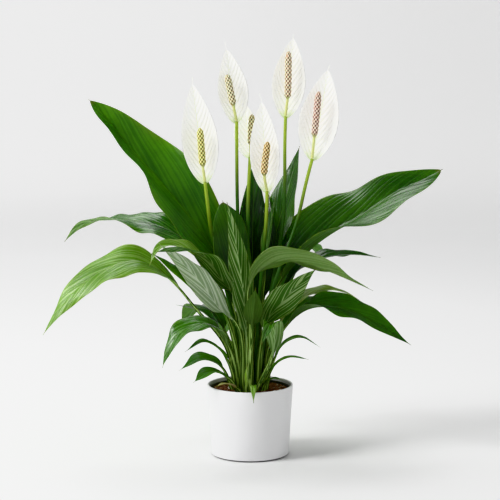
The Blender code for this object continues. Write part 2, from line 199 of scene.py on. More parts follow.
# a closed skin over rings of points (station, around, xyz) in mm with one pole point at each end,
# turned to face outwards: the sum of corner . (corner x corner) over its triangles is positive
def loftPiece(name, rings, startPole, endPole, fields, finish):
    count, around = rings.shape[:2]
    points = np.concatenate([rings.reshape(-1, 3), [startPole], [endPole]]) * mm
    quads = ringQuads(count, around)
    triangles = np.concatenate([fan(count * around, 0, around)[:, [0, 2, 1]],
                                fan(count * around + 1, (count - 1) * around, around)])
    split = np.concatenate([quads[:, [0, 1, 2]], quads[:, [0, 2, 3]], triangles])
    a, b, c = (points[split[:, k]] for k in range(3))
    if np.sum(a * np.cross(b, c)) < 0:
        quads, triangles = quads[:, ::-1], triangles[:, ::-1]
    mesh = bpy.data.meshes.new(name)
    mesh.vertices.add(len(points))
    mesh.vertices.foreach_set("co", points.astype(np.float32).ravel())
    loops = np.concatenate([quads.ravel(), triangles.ravel()]).astype(np.int32)
    mesh.loops.add(len(loops))
    mesh.loops.foreach_set("vertex_index", loops)
    starts = np.concatenate([np.arange(len(quads)) * 4, quads.size + np.arange(len(triangles)) * 3])
    mesh.polygons.add(len(starts))
    mesh.polygons.foreach_set("loop_start", starts.astype(np.int32))
    mesh.update(calc_edges=True)
    mesh.validate()
    mesh.shade_smooth()
    for label, values in fields.items():
        values = np.asarray(values, np.float32)
        kind, entry = ("FLOAT_VECTOR", "vector") if values.ndim == 2 else ("FLOAT", "value")
        mesh.attributes.new(label, kind, "POINT").data.foreach_set(entry, values.ravel())
    mesh.materials.append(finish)
    piece = bpy.data.objects.new(name, mesh)
    bpy.context.scene.collection.objects.link(piece)
    return piece


boxGaps = {}


# hands a finished piece to the frame, and notes how far its box is from its CAD node's
def settle(piece, node):
    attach(piece, "root")
    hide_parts(node)
    corners = np.array([v[:] for v in piece.bound_box])
    low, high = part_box(node)
    gap = np.abs(np.concatenate([corners.min(0) - low, corners.max(0) - high])).max()
    boxGaps[piece.name] = round(float(gap) / mm, 1)


# node helpers

def addNode(tree, kind, **settings):
    node = tree.nodes.new(kind)
    for key, value in settings.items():
        setattr(node, key, value)
    return node


# links a socket to the target, or sets the target to a plain value
def feed(tree, target, value):
    if isinstance(value, bpy.types.NodeSocket):
        tree.links.new(value, target)
    else:
        target.default_value = value


def calc(tree, operation, *values):
    node = addNode(tree, "ShaderNodeMath", operation=operation)
    for socket, value in zip(node.inputs, values):
        feed(tree, socket, value)
    return node.outputs[0]


def times(tree, first, second):
    return calc(tree, "MULTIPLY", first, second)


# value * gain + offset
def scaled(tree, value, gain, offset):
    return calc(tree, "ADD", times(tree, value, gain), offset)


# value moved from one range to another, eased at both ends
def remap(tree, value, low, high, toLow=0.0, toHigh=1.0):
    node = addNode(tree, "ShaderNodeMapRange", interpolation_type="SMOOTHSTEP")
    for socket, entry in zip(node.inputs, (value, low, high, toLow, toHigh)):
        feed(tree, socket, entry)
    return node.outputs[0]


# first where share is 0, second where it is 1
def blendColor(tree, share, first, second, mode="MIX"):
    node = addNode(tree, "ShaderNodeMix", data_type="RGBA", blend_type=mode)
    feed(tree, node.inputs[0], share)
    for socket, color in ((node.inputs[6], first), (node.inputs[7], second)):
        feed(tree, socket, (*color, 1.0) if isinstance(color, tuple) else color)
    return node.outputs[2]


# lays a second colour over the first where the mask is 1, as strongly as amount
def paint(tree, color, over, mask, amount):
    return blendColor(tree, times(tree, mask, amount), color, over)


def speckle(tree, vector, scale, detail=2.0, roughness=0.5):
    node = addNode(tree, "ShaderNodeTexNoise")
    for name, value in dict(Vector=vector, Scale=scale, Detail=detail, Roughness=roughness).items():
        feed(tree, node.inputs[name], value)
    return node.outputs["Fac"]


def objectCoords(tree):
    return addNode(tree, "ShaderNodeTexCoord").outputs["Object"]


# Object coordinates drawn out along Z, for streaks up a stem
def streakCoords(tree, coords):
    stretch = addNode(tree, "ShaderNodeMapping")
    stretch.inputs["Scale"].default_value = (1.0, 1.0, 0.05)
    feed(tree, stretch.inputs["Vector"], coords)
    return stretch.outputs["Vector"]


def field(tree, name, output="Fac"):
    return addNode(tree, "ShaderNodeAttribute", attribute_name=name).outputs[output]


def splitAxes(tree, vector):
    node = addNode(tree, "ShaderNodeSeparateXYZ")
    feed(tree, node.inputs[0], vector)
    return node.outputs


def newFinish(name, constants):
    finish = bpy.data.materials.new(name)
    finish.use_nodes = True
    shader = finish.node_tree.nodes["Principled BSDF"]
    for key, value in constants.items():
        shader.inputs[key].default_value = value
    return finish, finish.node_tree, shader


# gives a shader its colour, its roughness and a bump of the given depth in metres
def dress(tree, shader, color, roughness, height, depth):
    feed(tree, shader.inputs["Base Color"], color)
    feed(tree, shader.inputs["Roughness"], roughness)
    bump = addNode(tree, "ShaderNodeBump")
    bump.inputs["Distance"].default_value = depth
    feed(tree, bump.inputs["Height"], height)
    feed(tree, shader.inputs["Normal"], bump.outputs["Normal"])


# shared effect: masks of a growing blade from its own grid. Place holds share along the blade,
# share across it and the vein count; the masks are 1 on a vein, on the midrib and at the margin,
# and Band is 1 half-way between two veins
def buildBladeGroup():
    group = bpy.data.node_groups.new("bladeMarks", "ShaderNodeTree")
    for name, kind in (("Place", "Vector"), ("Vein Width", "Float"), ("Rib Width", "Float")):
        group.interface.new_socket(name, in_out="INPUT", socket_type="NodeSocket" + kind)
    start = group.nodes.new("NodeGroupInput")
    along, across, count = splitAxes(group, start.outputs["Place"])
    side = calc(group, "ABSOLUTE", across)
    near = calc(group, "ABSOLUTE", calc(group, "SINE", times(group, count, math.pi)))
    vein = remap(group, near, start.outputs["Vein Width"], 0.0)
    band = calc(group, "POWER", near, 2.0)
    fine = calc(group, "ABSOLUTE", calc(group, "SINE", times(group, count, math.pi * 4)))
    rib = remap(group, side, start.outputs["Rib Width"], 0.0)
    inBlade = remap(group, along, 0.0, 0.02)
    beside = remap(group, side, 0.0, 0.05)
    masks = {"Along": along, "Side": side,
             "Vein": times(group, times(group, vein, inBlade), beside),
             "Band": times(group, times(group, band, inBlade), beside),
             "Fine Vein": times(group, fine, inBlade),
             "Midrib": times(group, rib, inBlade),
             "Margin": remap(group, side, 0.965, 1.0)}
    for name in masks:
        group.interface.new_socket(name, in_out="OUTPUT", socket_type="NodeSocketFloat")
    end = group.nodes.new("NodeGroupOutput")
    for name, mask in masks.items():
        group.links.new(mask, end.inputs[name])
    return group


bladeMarks = buildBladeGroup()


def addMarks(tree, veinWidth, ribWidth):
    marks = addNode(tree, "ShaderNodeGroup", node_tree=bladeMarks)
    feed(tree, marks.inputs["Place"], field(tree, "place", "Vector"))
    marks.inputs["Vein Width"].default_value = veinWidth
    marks.inputs["Rib Width"].default_value = ribWidth
    return marks.outputs


# leaf finishes
# dark, light: mottle of the upper side. under: the underside. vein: midrib, margin and the
# underside's stripes. band, bandHighlight: the brighter bands between veins, a painted highlight on
# the upper side. gloss: roughness.
# baseShade: painted shade at the blade's base, where little light comes: the share of the colour left
# there.
leafFinishes = dict(
    deep=dict(dark=(0.009, 0.042, 0.003), light=(0.028, 0.098, 0.006), under=(0.075, 0.17, 0.03),
              vein=(0.09, 0.23, 0.026), band=0.3, bandHighlight=(0.046, 0.14, 0.01), gloss=0.3,
              baseShade=0.3),
    green=dict(dark=(0.014, 0.072, 0.003), light=(0.038, 0.15, 0.005), under=(0.09, 0.2, 0.04),
               vein=(0.11, 0.3, 0.022), band=0.4, bandHighlight=(0.068, 0.215, 0.008), gloss=0.36,
               baseShade=0.7),
    striped=dict(dark=(0.012, 0.055, 0.005), light=(0.034, 0.12, 0.01), under=(0.19, 0.31, 0.11),
                 vein=(0.26, 0.4, 0.17), band=0.6, bandHighlight=(0.17, 0.3, 0.11), gloss=0.22,
                 baseShade=0.6),
    fresh=dict(dark=(0.07, 0.17, 0.01), light=(0.17, 0.33, 0.045), under=(0.26, 0.43, 0.06),
               vein=(0.44, 0.58, 0.26), band=0.6, bandHighlight=(0.36, 0.5, 0.19), gloss=0.4,
               baseShade=0.7),
    pale=dict(dark=(0.014, 0.058, 0.006), light=(0.028, 0.088, 0.012), under=(0.062, 0.14, 0.028),
              vein=(0.26, 0.37, 0.16), band=0.85, bandHighlight=(0.19, 0.31, 0.11), gloss=0.36,
              baseShade=0.65),
    # silvery: pale grey-green upper side, painted sheen for light reflected off the leaf, over a pale
    # underside
    silvery=dict(dark=(0.08, 0.15, 0.06), light=(0.13, 0.21, 0.095), under=(0.27, 0.35, 0.215),
                 vein=(0.45, 0.53, 0.4), band=0.6, bandHighlight=(0.4, 0.48, 0.35), gloss=0.34,
                 baseShade=0.7),
    matt=dict(dark=(0.045, 0.105, 0.02), light=(0.075, 0.15, 0.036), under=(0.15, 0.235, 0.082),
              vein=(0.185, 0.28, 0.105), band=0.4, bandHighlight=(0.165, 0.28, 0.08), gloss=0.48,
              baseShade=0.75),
    olive=dict(dark=(0.02, 0.05, 0.008), light=(0.036, 0.08, 0.014), under=(0.045, 0.095, 0.018),
               vein=(0.085, 0.15, 0.038), band=0.35, bandHighlight=(0.06, 0.115, 0.024), gloss=0.5,
               baseShade=0.6),
    # shade: near-black colours all over, painted shade for leaves deep in the clump
    shade=dict(dark=(0.003, 0.013, 0.002), light=(0.01, 0.038, 0.004), under=(0.016, 0.05, 0.007),
               vein=(0.045, 0.12, 0.015), band=0.35, bandHighlight=(0.024, 0.08, 0.008), gloss=0.3,
               baseShade=0.25),
    yellow=dict(dark=(0.15, 0.24, 0.05), light=(0.28, 0.39, 0.11), under=(0.36, 0.47, 0.17),
                vein=(0.48, 0.57, 0.26), band=0.5, bandHighlight=(0.42, 0.53, 0.2), gloss=0.4,
                baseShade=0.5),
    dry=dict(dark=(0.3, 0.33, 0.1), light=(0.52, 0.48, 0.22), under=(0.5, 0.46, 0.24),
             vein=(0.56, 0.5, 0.26), band=0.4, bandHighlight=(0.56, 0.52, 0.28), gloss=0.5,
             baseShade=0.8))
leafShape = dict(
    petioleRadius=1.9, stalkLight=(0.330, 0.490, 0.160), stalkDark=(0.010, 0.040, 0.004),
    stalkFoot=(0.300, 0.430, 0.140), stalkWings=30, stalkHalfWidth=(2.8, 0.050), stalkBack=1.3,
    sheetHalfThickness=0.32, ribHeight=0.95, ribGroove=0.22, tipHalfWidth=0.45, tipHair=4.0,
    belly=0.756, taper=1.15, curl=-14, bendEnd=0.16, waveHeight=0.048, veinSlant=3.4, veinCurl=1.8,
    veinGap=(7.4, 0.074), veinSpread=2.2, veinDepth=(0.22, 0.0045), upright=18,
    cadStations=13, stationGap=2.4, petioleGap=5.0, acrossGap=0.9, buried=6.0)


# leaf skin: green mottled with light, brighter bands between the veins as painted highlight on the
# upper side, the veins darkened there as painted shade, pale veins on the underside, pale midrib and
# margin, painted shade towards the blade's base, a matt pale underside, and a streaked stalk that
# pales towards the soil
def makeLeafFinish(name, dark, light, under, vein, band, bandHighlight, gloss, baseShade):
    finish, tree, shader = newFinish(name + "LeafSkin", {
        "Coat Roughness": 0.12, "IOR": 1.42, "Subsurface Weight": 0.10,
        "Subsurface Scale": 0.004, "Subsurface Radius": (0.5, 1.0, 0.1)})
    marks = addMarks(tree, 0.26, 0.040)
    back = field(tree, "underside")
    coords = objectCoords(tree)
    patches = speckle(tree, coords, 14.0, 3.0)
    grain = speckle(tree, coords, 300.0, 3.0)
    along, stripes = marks["Along"], marks["Band"]

    upper = blendColor(tree, remap(tree, patches, 0.32, 0.68), dark, light)
    # painted highlight: brighter bands half-way between the veins, where the puffed-up sheet catches
    # the light
    upper = paint(tree, upper, bandHighlight, times(tree, remap(tree, stripes, 0.35, 0.95), band),
                  remap(tree, patches, 0.25, 0.75, 0.4, 1.0))
    # painted shade: the upper side darkened along the vein dips
    upper = paint(tree, upper, dark, marks["Vein"], 0.7)
    lower = paint(tree, under, light, remap(tree, stripes, 0.3, 0.85), band)
    lower = paint(tree, lower, vein, remap(tree, stripes, 0.34, 0.06), band)
    color = blendColor(tree, back, upper, lower)
    # painted shade: the colour falls towards a dark shadow colour at the blade's base, keeping about
    # baseShade of itself there
    depth = remap(tree, along, 0.0, 0.5, baseShade, 1.0)
    shadow = tuple(0.2 * value for value in dark)
    color = blendColor(tree, calc(tree, "SUBTRACT", 1.0, depth), color, shadow)
    color = paint(tree, color, vein, marks["Midrib"], 0.85)
    color = paint(tree, color, vein, marks["Margin"], 0.75)
    greys = blendColor(tree, grain, (0.2, 0.2, 0.2), (0.85, 0.85, 0.85))
    color = blendColor(tree, 0.25, color, greys, "OVERLAY")
    color = paint(tree, color, (0.14, 0.12, 0.03), remap(tree, along, 0.965, 1.0), 0.6)

    stalk = remap(tree, along, 0.05, -0.10)
    grooves = calc(tree, "SINE", times(tree, marks["Side"], 9.0))
    streaks = speckle(tree, streakCoords(tree, coords), 300.0, 2.0)
    lines = calc(tree, "ADD", streaks, times(tree, grooves, 0.22))
    stem = blendColor(tree, remap(tree, along, -0.30, -0.95), leafShape["stalkLight"],
                      leafShape["stalkFoot"])
    stem = paint(tree, stem, leafShape["stalkDark"], remap(tree, lines, 0.46, 0.60), 0.92)
    stem = paint(tree, stem, leafShape["stalkFoot"], marks["Margin"], 0.7)
    color = blendColor(tree, stalk, color, stem)

    rough = scaled(tree, patches, 0.18, gloss - 0.06)
    rough = calc(tree, "ADD", rough, times(tree, back, 0.25))
    rough = calc(tree, "ADD", rough, times(tree, stalk, 0.15))
    coat = times(tree, calc(tree, "SUBTRACT", 1.0, back), 0.12)
    feed(tree, shader.inputs["Coat Weight"], coat)
    height = calc(tree, "ADD", times(tree, marks["Fine Vein"], 0.5), times(tree, grain, 0.5))
    dress(tree, shader, color, rough, height, 0.00015)
    return finish


leafSkins = {name: makeLeafFinish(name, **values) for name, values in leafFinishes.items()}

# leaves
# foot: where the petiole leaves the soil. aim: heading in degrees, anticlockwise from +X.
# path: (reach, height) of the midrib beyond the foot, in the upright plane of the heading.
# bow, lean: how far the middle and the tip stand to the left of that plane. petiole: share of the
# path before the blade. left, right: degrees by which each half stands above level, one value or
# those at the blade's base, middle and tip. curl: degrees more at the margin. wave: how strongly
# the margin waves. belly, taper: see bladeShare.
leaves = dict(
    leaf_tall_left=dict(foot=(-12, 4), aim=171, petiole=0.36, width=124, left=(-56, 2, -28),
        right=(50, 58, 56), belly=0.84, taper=0.85, wave=1.5, curl=14, finish="green",
        path=((27, 257), (68, 327), (113, 384), (151, 427), (197, 479), (233, 525), (242, 530))),
    leaf_tall_right=dict(foot=(13, 4), aim=12, petiole=0.37, width=120, left=(55, 56, 52),
        right=(42, 8, -42), belly=0.66, taper=0.75, wave=1.3, finish="deep",
        path=((38, 245), (70, 290), (120, 329), (176, 360), (232, 395), (263, 408), (296, 424))),
    leaf_left_level=dict(foot=(-15, 8), aim=166, petiole=0.46, width=58, left=(-35, -10, 68),
        right=(50, 35, -50), wave=1.6, finish="striped",
        path=((25, 190), (77, 302), (131, 338), (188, 350), (235, 348), (264, 341), (290, 316))),
    leaf_left_drooping=dict(foot=(-23, -1), aim=190, petiole=0.42, width=62, left=(-15, -28, -48),
        right=(42, 46, 38), wave=1.5, finish="fresh",
        path=((34, 160), (82, 225), (120, 270), (165, 297), (209, 290), (253, 262), (283, 230),
              (307, 194))),
    leaf_left_folded=dict(foot=(-11, -10), aim=207, petiole=0.46, width=48, left=(16, 6, 6),
        right=(36, 46, 46), finish="fresh",
        path=((30, 191), (55, 259), (85, 303), (126, 325), (149, 321), (162, 300))),
    leaf_left_pale=dict(foot=(-6, -20), aim=225, petiole=0.46, width=40, left=(50, 10, -50),
        right=(-55, -8, 40), bow=3, finish="pale",
        path=((34, 238), (66, 278), (92, 309), (138, 326), (186, 325))),
    leaf_left_dark=dict(foot=(-12, -15), aim=213, petiole=0.42, width=46, left=(-40, -45, -45),
        right=(30, 40, 40), finish="green", path=((44, 216), (79, 254), (121, 287), (166, 316))),
    leaf_left_silvery=dict(foot=(-12, -21), aim=222, petiole=0.44, width=38, left=(50, 50, 45),
        right=(-50, -50, -45), bow=11, finish="silvery",
        path=((36, 201), (71, 233), (102, 271), (130, 300), (172, 333))),
    leaf_centre_broad=dict(foot=(3, -10), aim=112, petiole=0.4, width=61, left=(24, 14, 10),
        right=(25, 10, 5), bow=17, lean=25, belly=1.25, taper=0.7, finish="deep",
        path=((-11, 200), (-1, 260), (11, 312), (28, 358), (46, 378))),
    leaf_centre_narrow=dict(foot=(-7, -26), aim=258, petiole=0.3, width=36, left=(40, 40, 15),
        right=(-30, -22, -5), bow=6, lean=-24, wave=1.6, finish="pale",
        path=((30, 175), (36, 225), (42, 272), (45, 330), (46, 383))),
    leaf_centre_shaded=dict(foot=(8, 19), aim=70, petiole=0.42, width=60, finish="shade",
        path=((28, 200), (54, 290), (68, 340), (86, 385))),
    leaf_centre_curled=dict(foot=(-2, 1), aim=30, petiole=0.6, width=26, left=25, right=25,
        finish="pale", path=((18, 220), (32, 330), (44, 385))),
    leaf_behind_flower=dict(foot=(2, 14), aim=84, petiole=0.5, width=44, finish="shade",
        path=((24, 220), (39, 330), (53, 400), (62, 440))),
    leaf_upright_right=dict(foot=(12, 13), aim=48, petiole=0.5, width=58, bow=10, finish="deep",
        path=((37, 220), (66, 320), (92, 390), (112, 456))),
    leaf_right_dark=dict(foot=(18, 10), aim=22, petiole=0.46, width=40, left=(22, 32, 42),
        right=(22, 12, 2), finish="deep",
        path=((42, 215), (80, 278), (126, 293), (169, 295), (213, 288))),
    leaf_right_arching=dict(foot=(3, -23), aim=345, petiole=0.46, width=60, left=(-10, -20, 0),
        right=(50, 64, 45), bow=-33, lean=-16, finish="matt",
        path=((10, 166), (10, 219), (8, 258), (28, 290), (66, 303), (125, 288), (187, 260))),
    leaf_right_striped=dict(foot=(12, -14), aim=322, petiole=0.42, width=48, left=(-45, -45, -40),
        right=(45, 45, 40), finish="pale", path=((30, 204), (62, 241), (93, 271), (120, 291))),
    leaf_right_yellow=dict(foot=(20, 5), aim=14, petiole=0.44, width=34, left=(23, 28, 28),
        right=(13, 8, 8), finish="yellow",
        path=((29, 165), (61, 219), (99, 242), (138, 244), (168, 230))),
    leaf_right_drooping=dict(foot=(20, -4), aim=347, petiole=0.36, width=58, left=(30, 52, 48),
        right=(45, -8, -22), wave=1.4, finish="deep",
        path=((29, 140), (53, 196), (91, 226), (143, 227), (192, 207), (240, 178))),
    leaf_right_thin=dict(foot=(25, -1), aim=357, petiole=0.4, width=18, left=20, right=20,
        finish="green", path=((31, 132), (49, 168), (77, 179), (103, 165))),
    leaf_right_low=dict(foot=(22, -11), aim=333, petiole=0.35, width=18, left=20, right=20,
        finish="green", path=((30, 122), (43, 142), (66, 154), (94, 153))),
    leaf_right_lowest=dict(foot=(18, -18), aim=318, petiole=0.35, width=11, left=15, right=15,
        finish="deep", path=((32, 114), (45, 122), (62, 122))),
    leaf_front_nodding=dict(foot=(7, -24), aim=272, petiole=0.4, width=32, left=30, right=30,
        bow=30, lean=14, finish="striped", path=((37, 160), (52, 204), (72, 209), (90, 186))),
    leaf_front_round=dict(foot=(-1, -31), aim=270, petiole=0.66, width=30, left=16, right=16,
        lean=8, finish="olive", path=((39, 160), (48, 215), (52, 258))),
    leaf_front_sprout=dict(foot=(-6, -31), aim=262, petiole=0.3, width=8, left=20, right=20,
        finish="fresh", path=((31, 118), (32, 140))),
    leaf_over_rim=dict(foot=(6, -31), aim=274, petiole=0.3, width=10, left=10, right=10,
        finish="fresh", path=((46, 113), (64, 115), (74, 97))),
    leaf_left_low=dict(foot=(-18, -12), aim=206, petiole=0.36, width=46, left=(6, -4, -4),
        right=(26, 36, 36), bow=6, wave=1.4, finish="striped",
        path=((30, 142), (44, 180), (73, 206), (110, 199), (131, 175), (142, 147))),
    leaf_left_small=dict(foot=(-18, 5), aim=166, petiole=0.45, width=26, finish="deep",
        path=((36, 160), (70, 212), (112, 222))),
    leaf_left_slim=dict(foot=(-21, -17), aim=206, petiole=0.4, width=22, left=(13, 8, 8),
        right=(23, 28, 28), finish="green", path=((35, 140), (52, 166), (77, 178), (104, 166))),
    leaf_left_lower=dict(foot=(-27, -3), aim=186, petiole=0.35, width=38, left=(8, 1, 1),
        right=(24, 31, 31), finish="green", path=((42, 134), (73, 148), (104, 131))),
    leaf_left_lowest=dict(foot=(-18, -22), aim=214, petiole=0.35, width=38, left=(11, 6, 6),
        right=(21, 26, 26), finish="green", path=((42, 123), (70, 134), (98, 122))),
    leaf_old_strip=dict(foot=(-13, -26), aim=232, petiole=0.3, width=10, left=10, right=10,
        finish="dry", path=((42, 112), (62, 118), (78, 117))),
    leaf_back_right=dict(foot=(15, 18), aim=55, petiole=0.42, width=66, finish="green",
        path=((50, 200), (108, 285), (160, 300), (208, 270))),
    leaf_back_centre=dict(foot=(2, 21), aim=88, petiole=0.42, width=68, finish="deep",
        path=((42, 195), (95, 280), (148, 292), (200, 255))),
    leaf_back_left=dict(foot=(-9, 16), aim=122, petiole=0.42, width=68, finish="green",
        path=((46, 205), (105, 298), (162, 316), (218, 288))),
    leaf_back_low_left=dict(foot=(-17, 13), aim=126, petiole=0.4, width=54, finish="deep",
        path=((46, 158), (98, 208), (146, 202), (186, 165))),
    leaf_back_low=dict(foot=(-5, 24), aim=104, petiole=0.4, width=52, finish="deep",
        path=((42, 150), (92, 190), (138, 184), (178, 145))),
    leaf_back_low_right=dict(foot=(21, 14), aim=36, petiole=0.42, width=50, finish="green",
        path=((44, 160), (92, 215), (140, 222), (180, 195))),
    leaf_back_small=dict(foot=(9, 25), aim=74, petiole=0.38, width=32, finish="fresh",
        path=((38, 138), (70, 165), (106, 160), (132, 134))))


# half-width along a blade, 0 to 1: sin(pi * t^belly)^taper. A larger belly puts the widest part
# nearer the tip, a smaller taper keeps the blade broad towards both ends.
def bladeShare(t, belly, taper):
    return np.sin(math.pi * np.clip(t, 0, 1) ** belly) ** taper


# one half of the cross-section, from the midrib outwards: the sheet leaves the midrib level,
# bends to its angle and then curls with the square of the share across, so each point is the
# running sum of short steps in the direction of the local slope
def halfSection(angle, curl, halfWidth, edge):
    def slopeAt(share):
        return angle[:, None] * ease(share, 0.0, leafShape["bendEnd"]) + curl[:, None] * share**2

    slope = slopeAt((edge[1:] + edge[:-1]) / 2)
    step = np.diff(edge)[None, :] * halfWidth[:, None]
    start = 0 * halfWidth[:, None]
    out = np.concatenate([start, np.cumsum(np.cos(slope) * step, axis=1)], axis=1)
    up = np.concatenate([start, np.cumsum(np.sin(slope) * step, axis=1)], axis=1)
    return out, up, slopeAt(edge)


# a bell across the sheet round the midrib, falling to 1/e at `reach` mm from it
def ribBell(edge, halfWidth, reach):
    return np.exp(-(edge * halfWidth[:, None] / reach) ** 2)


# joins an upper and a lower grid of points into rings round the sheet, without the last station
def closeSheet(over, under):
    return np.concatenate([over, under[:, -2:0:-1]], axis=1)[:-1]


# the blade's own coordinates for its masks: along, across and the vein count at every ring point
def placeField(t, a, veins, ends):
    place = np.stack(np.broadcast_arrays(t[:, None], a[None, :], veins), axis=-1)
    return np.concatenate([closeSheet(place, place).reshape(-1, 3), ends])


# the midrib's line: through the path in the upright plane of the heading, moved sideways by
# foot*(1-s)^2 + bow*sin(pi*s) + lean*s^2, then down into the soil and out along the tip's hair
def leafSpine(foot, aim, path, petiole, bow, lean):
    shape = leafShape
    outward, leftward = levelAt(aim), levelAt(aim + 90)
    foot = np.array([*foot, 0.0])
    upright = [(foot @ outward, 0.0, plantFoot)] + [(reach, 0.0, height) for reach, height in path]
    coarse = smoothPath(upright, shape["cadStations"])
    length = np.linalg.norm(np.diff(coarse, axis=0), axis=1).sum()
    inStalk = int(length * petiole / shape["petioleGap"]) + 4
    inBlade = int(length * (1 - petiole) / shape["stationGap"]) + 12
    s = np.concatenate([np.linspace(0, petiole, inStalk, endpoint=False),
                        np.linspace(petiole, 1, inBlade)])
    spine = splineThrough(coarse, s)
    aside = foot @ leftward * (1 - s) ** 2 + bow * np.sin(math.pi * s) + lean * s**2
    spine = (spine[:, :1] * outward + aside[:, None] * leftward
             + spine[:, 2:] * np.array([0.0, 0.0, 1.0]))
    ahead = unit(spine[-1] - spine[-3])
    tail = np.linspace(0, 1, 5)[1:, None]
    spine = np.concatenate([[spine[0] - (0, 0, shape["buried"])], spine,
                            spine[-1] + tail * shape["tipHair"] * ahead])
    return spine, np.concatenate([[0.0], s, 1 + 0 * tail[:, 0]]), length, leftward, inBlade


# a leaf is a thin closed sheet carried along its spine. Each half of the sheet stands at its own
# angle, waves at the margin and dips at each vein, and towards the soil the two halves close into
# a winged, grooved stalk.
def buildLeaf(name, foot, aim, path, petiole, width, finish, left=leafShape["upright"],
              right=leafShape["upright"], bow=0, lean=0, belly=leafShape["belly"],
              taper=leafShape["taper"], wave=1.0, curl=leafShape["curl"]):
    shape = leafShape
    rng = np.random.default_rng(sum(ord(letter) * (k + 3) for k, letter in enumerate(name)))
    spine, s, length, leftward, inBlade = leafSpine(foot, aim, path, petiole, bow, lean)

    # widths and angles along the leaf
    t = (s - petiole) / (1 - petiole)
    held = np.clip(t, 0, 1)
    share = bladeShare(t, belly, taper)
    share[t >= 1] = 0.0
    radius, tip = shape["petioleRadius"], shape["tipHalfWidth"]
    wings = shape["stalkHalfWidth"][0] + shape["stalkHalfWidth"][1] * width
    stalkWidth = radius + (wings - radius) * ease(s / petiole, 1.0, 0.45)
    halfWidth = tip + (stalkWidth - tip) * ease(t, 0.25, 0.0) + (width / 2 - tip) * share
    blade = ease(t, -0.04, 0.14)
    angles = [evened(np.radians(np.interp(t, (0, 0.5, 1), np.broadcast_to(degrees, 3))),
                     inBlade * 0.12) for degrees in (left, right)]
    angles = [math.radians(shape["stalkWings"]) * (1 - blade) + angle * blade for angle in angles]
    curled = math.radians(curl) * blade

    # the bare sheet: two half-sections side by side on the spine's level and upper directions
    tangent = unit(np.gradient(spine, axis=0))
    level = unit(leftward - np.sum(leftward * tangent, axis=1, keepdims=True) * tangent)[:, None]
    upper = np.cross(tangent, level[:, 0])[:, None]
    perHalf = int(np.clip(width / 2 / shape["acrossGap"], 9, 64))
    edge = np.linspace(0, 1, perHalf)
    edge = edge * (0.75 + 0.25 * edge)
    leftOut, leftUp, leftSlope = halfSection(angles[0], curled, halfWidth, edge)
    rightOut, rightUp, rightSlope = halfSection(angles[1], curled, halfWidth, edge)
    out = np.concatenate([-rightOut[:, ::-1], leftOut[:, 1:]], axis=1)[..., None]
    up = np.concatenate([rightUp[:, ::-1], leftUp[:, 1:]], axis=1)[..., None]
    slope = np.concatenate([-rightSlope[:, ::-1], leftSlope[:, 1:]], axis=1)[..., None]
    sheet = spine[:, None] + out * level + up * upper
    normal = -np.sin(slope) * level + np.cos(slope) * upper
    a = np.concatenate([-edge[::-1], edge[1:]])
    edge = np.abs(a)[None, :]

    # waves at the margin, then veins that slant forward and puff the sheet up between them
    along = held[:, None] * length * (1 - petiole)
    waveLength = (1.1 + 0.7 * rng.random(4)) * max(width, 34)
    phases = rng.uniform(0, 2 * math.pi, 4)
    swings = [np.sin(2 * math.pi * along / waveLength[k] + phases[k])
              + 0.35 * np.sin(3.6 * math.pi * along / waveLength[k + 2] + phases[k + 2])
              for k in range(2)]
    swing = np.where(a[None, :] > 0, swings[0], swings[1])
    waves = wave * shape["waveHeight"] * width * share[:, None] * edge**2.4 * swing
    gap = (shape["veinGap"][0] + shape["veinGap"][1] * width) * shape["veinSpread"]
    forward = edge * halfWidth[:, None] * (shape["veinSlant"] + shape["veinCurl"] * edge)
    veins = (along - forward) / gap
    uneven = 0.22 * np.sin(2.3 * veins + phases[0]) + 0.13 * np.sin(5.1 * veins + phases[1])
    veins = veins + uneven + 0.5 * (a[None, :] > 0)
    dip = 0.5 - 0.5 * np.cos(2 * math.pi * veins)
    depth = shape["veinDepth"][0] + shape["veinDepth"][1] * width
    depth = depth * np.minimum(share * 1.4, 1.0)[:, None] * ease(edge, 0.02, 0.14)
    body = waves + depth * ease(edge, 1.0, 0.88) * (dip**0.8 - 0.5) * blade[:, None]

    # thickness: thin at the margin, a midrib below, and a rounded back on the stalk
    thin = 1 - edge**6
    thick = shape["sheetHalfThickness"] * (1 - 0.5 * held)[:, None] * thin
    rib = (shape["ribHeight"] * radius * (1 - 0.75 * held) * ease(t, 1.0, 0.75) * blade)[:, None]
    rib = rib * ribBell(edge, halfWidth, 1.1 * radius) * thin
    stalkBack = shape["stalkBack"] * radius * (1 - blade)[:, None]
    stalkBack = stalkBack * ribBell(edge, halfWidth, 1.4 * radius) * thin
    over = sheet + (body + thick - shape["ribGroove"] * rib)[..., None] * normal
    under = sheet + (body - thick - rib - stalkBack)[..., None] * normal
    rings = closeSheet(over, under)

    behind = np.concatenate([np.zeros(len(a)), np.ones(len(a) - 2)])
    behind[[0, len(a) - 1]] = 0.5
    fields = dict(place=placeField(t, a, veins, [[t[0], 0, 0], [1, 0, 0]]),
                  underside=np.concatenate([np.tile(behind, len(rings)), [0.5, 0.5]]))
    piece = loftPiece(name.replace("leaf_", "leafSkin_"), rings, spine[0], spine[-1], fields,
                      leafSkins[finish])
    settle(piece, name)


for leafName, leafPlan in leaves.items():
    buildLeaf(leafName, **leafPlan)
print("leaves grown:", len(leaves))


